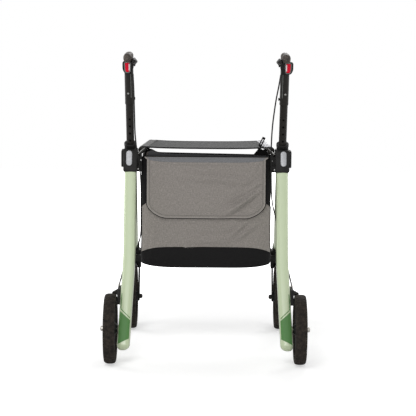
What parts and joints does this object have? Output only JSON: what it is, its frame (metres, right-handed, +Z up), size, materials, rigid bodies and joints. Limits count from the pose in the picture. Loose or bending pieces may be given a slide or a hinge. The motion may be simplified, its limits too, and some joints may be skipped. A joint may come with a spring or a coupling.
{
  "type": "rollator",
  "caption": "Side-folding walking frame on wheels with splayed carbon legs, seat sling, shopping bag, height-adjustable handles, hand brakes and swivelling front casters.",
  "frame": {"origin": "on the floor, midway between the wheels", "axes": "+Z up, +Y forwards in the walking direction, +X to the user's right"},
  "size_m": [0.5974, 0.65, 0.8818],
  "materials": {
    "carbon_green": "painted carbon, satin",
    "panel_green": "satin",
    "black_plastic": "fine grain",
    "black_metal": "satin powder coat",
    "tyre": "matt",
    "rim": "satin",
    "grip": "matt",
    "button": "silver white",
    "steel": "bright",
    "reflector": "clear red lens",
    "grey_fabric": "melange weave",
    "black_fabric": "plain weave",
    "seat_mesh": "open mesh"
  },
  "bodies": {
    "left_frame": {"rear_leg_left": "carbon_green", "front_leg_left": "carbon_green", "joint_head_left": "black_plastic", "leg_panel_left": "panel_green", "caster_head_left": "black_plastic", "brake_bracket_left": "black_plastic", "rear_axle_left": "steel", "brake_cable_left": "black_plastic", "bag_body": "grey_fabric", "bag_bottom": "black_fabric"},
    "right_frame": {"rear_leg_right": "carbon_green", "front_leg_right": "carbon_green", "joint_head_right": "black_plastic", "leg_panel_right": "panel_green", "caster_head_right": "black_plastic", "brake_bracket_right": "black_plastic", "rear_axle_right": "steel", "brake_cable_right": "black_plastic"},
    "brace_a": {"brace_bar_a": "black_metal", "centre_bolt": "steel"},
    "brace_b": {"brace_bar_b": "black_metal"},
    "rail_left": {"seat_rail_left": "black_metal", "seat_sling": "seat_mesh"},
    "rail_right": {"seat_rail_right": "black_metal", "pull_tab": "black_fabric"},
    "flap": {"bag_flap": "grey_fabric"},
    "handle_left": {"handle_tube_left": "black_metal", "handle_stem_left": "black_metal", "clamp_knob_left": "black_plastic", "stem_screw_left": "steel", "brake_housing_left": "black_plastic", "red_reflector_left": "reflector", "grip_left": "grip"},
    "button_left": {"height_button_left": "button"},
    "lever_left": {"brake_lever_left": "black_plastic"},
    "brake_left": {"brake_arm_left": "black_metal"},
    "rear_wheel_left": {"rear_tyre_left": "tyre", "rear_rim_left": "rim"},
    "caster_left": {"fork_left": "black_plastic", "front_axle_left": "black_metal"},
    "front_wheel_left": {"front_tyre_left": "tyre", "front_rim_left": "rim"},
    "handle_right": {"handle_tube_right": "black_metal", "handle_stem_right": "black_metal", "clamp_knob_right": "black_plastic", "stem_screw_right": "steel", "brake_housing_right": "black_plastic", "red_reflector_right": "reflector", "grip_right": "grip"},
    "button_right": {"height_button_right": "button"},
    "lever_right": {"brake_lever_right": "black_plastic"},
    "brake_right": {"brake_arm_right": "black_metal"},
    "rear_wheel_right": {"rear_tyre_right": "tyre", "rear_rim_right": "rim"},
    "caster_right": {"fork_right": "black_plastic", "front_axle_right": "black_metal"},
    "front_wheel_right": {"front_tyre_right": "tyre", "front_rim_right": "rim"}
  },
  "joints": [
    {"name": "fold", "type": "hinge", "parent": "left_frame", "child": "brace_a", "pos_m": [-0.18, 0.213, 0.233], "axis": [0, -0.8831, -0.4692], "range_deg": [0, 35], "deforming": ["bag_body", "bag_bottom", "bag_flap", "seat_sling"]},
    {"name": "brace_cross", "type": "hinge", "parent": "brace_a", "child": "brace_b", "pos_m": [0, 0.124, 0.4005], "axis": [0, -0.8831, -0.4692], "range_deg": [-70, 0]},
    {"name": "right_frame_swing", "type": "hinge", "parent": "brace_b", "child": "right_frame", "pos_m": [0.18, 0.213, 0.233], "axis": [0, -0.8831, -0.4692], "range_deg": [0, 35]},
    {"name": "rail_left_swing", "type": "hinge", "parent": "brace_b", "child": "rail_left", "pos_m": [-0.18, 0.035, 0.568], "axis": [0, -0.8831, -0.4692], "range_deg": [0, 35]},
    {"name": "rail_right_swing", "type": "hinge", "parent": "brace_a", "child": "rail_right", "pos_m": [0.18, 0.035, 0.568], "axis": [0, -0.8831, -0.4692], "range_deg": [-35, 0]},
    {"name": "handle_slide_left", "type": "slide", "parent": "left_frame", "child": "handle_left", "axis": [0, -0.3746, 0.9272], "range_m": [-0.092, 0.046], "deforming": ["brake_cable_left"]},
    {"name": "height_button_press_left", "type": "slide", "parent": "left_frame", "child": "button_left", "axis": [0, 0.9563, -0.2924], "range_m": [0, 0.003], "stiffness_N_per_m": 600, "springref_m": -0.002},
    {"name": "brake_lever_pull_left", "type": "hinge", "parent": "handle_left", "child": "lever_left", "pos_m": [-0.2052, -0.152, 0.845], "axis": [-1, 0, 0], "range_deg": [0, 8], "stiffness_Nm_per_rad": 0.6, "springref_deg": -8.59},
    {"name": "brake_arm_swing_left", "type": "hinge", "parent": "left_frame", "child": "brake_left", "pos_m": [-0.252, -0.142, 0.19], "axis": [1, 0, 0], "range_deg": [0, 4.8]},
    {"name": "rear_wheel_spin_left", "type": "hinge", "parent": "left_frame", "child": "rear_wheel_left", "pos_m": [-0.27, -0.225, 0.1], "axis": [1, 0, 0], "continuous": true},
    {"name": "caster_swivel_left", "type": "hinge", "parent": "left_frame", "child": "caster_left", "pos_m": [-0.2305, 0.257, 0.2135], "axis": [0, 0, 1], "continuous": true},
    {"name": "front_wheel_spin_left", "type": "hinge", "parent": "caster_left", "child": "front_wheel_left", "pos_m": [-0.2305, 0.225, 0.1], "axis": [1, 0, 0], "continuous": true},
    {"name": "handle_slide_right", "type": "slide", "parent": "right_frame", "child": "handle_right", "axis": [0, -0.3746, 0.9272], "range_m": [-0.092, 0.046], "deforming": ["brake_cable_right"]},
    {"name": "height_button_press_right", "type": "slide", "parent": "right_frame", "child": "button_right", "axis": [0, 0.9563, -0.2924], "range_m": [0, 0.003], "stiffness_N_per_m": 600, "springref_m": -0.002},
    {"name": "brake_lever_pull_right", "type": "hinge", "parent": "handle_right", "child": "lever_right", "pos_m": [0.2052, -0.152, 0.845], "axis": [-1, 0, 0], "range_deg": [0, 8], "stiffness_Nm_per_rad": 0.6, "springref_deg": -8.59},
    {"name": "brake_arm_swing_right", "type": "hinge", "parent": "right_frame", "child": "brake_right", "pos_m": [0.252, -0.142, 0.19], "axis": [1, 0, 0], "range_deg": [0, 4.8]},
    {"name": "rear_wheel_spin_right", "type": "hinge", "parent": "right_frame", "child": "rear_wheel_right", "pos_m": [0.27, -0.225, 0.1], "axis": [1, 0, 0], "continuous": true},
    {"name": "caster_swivel_right", "type": "hinge", "parent": "right_frame", "child": "caster_right", "pos_m": [0.2305, 0.257, 0.2135], "axis": [0, 0, 1], "continuous": true},
    {"name": "front_wheel_spin_right", "type": "hinge", "parent": "caster_right", "child": "front_wheel_right", "pos_m": [0.2305, 0.225, 0.1], "axis": [1, 0, 0], "continuous": true},
    {"name": "bag_flap_lift", "type": "hinge", "parent": "left_frame", "child": "flap", "pos_m": [0, -0.0703, 0.5695], "axis": [-1, 0, 0], "range_deg": [0, 100]}
  ],
  "couplings": [
    {"joint": "brace_cross", "follows": "fold", "ratio": -2},
    {"joint": "right_frame_swing", "follows": "fold", "ratio": 1},
    {"joint": "rail_left_swing", "follows": "fold", "ratio": 1},
    {"joint": "rail_right_swing", "follows": "fold", "ratio": -1},
    {"joint": "brake_arm_swing_left", "follows": "brake_lever_pull_left", "ratio": 0.6},
    {"joint": "brake_arm_swing_right", "follows": "brake_lever_pull_right", "ratio": 0.6}
  ]
}
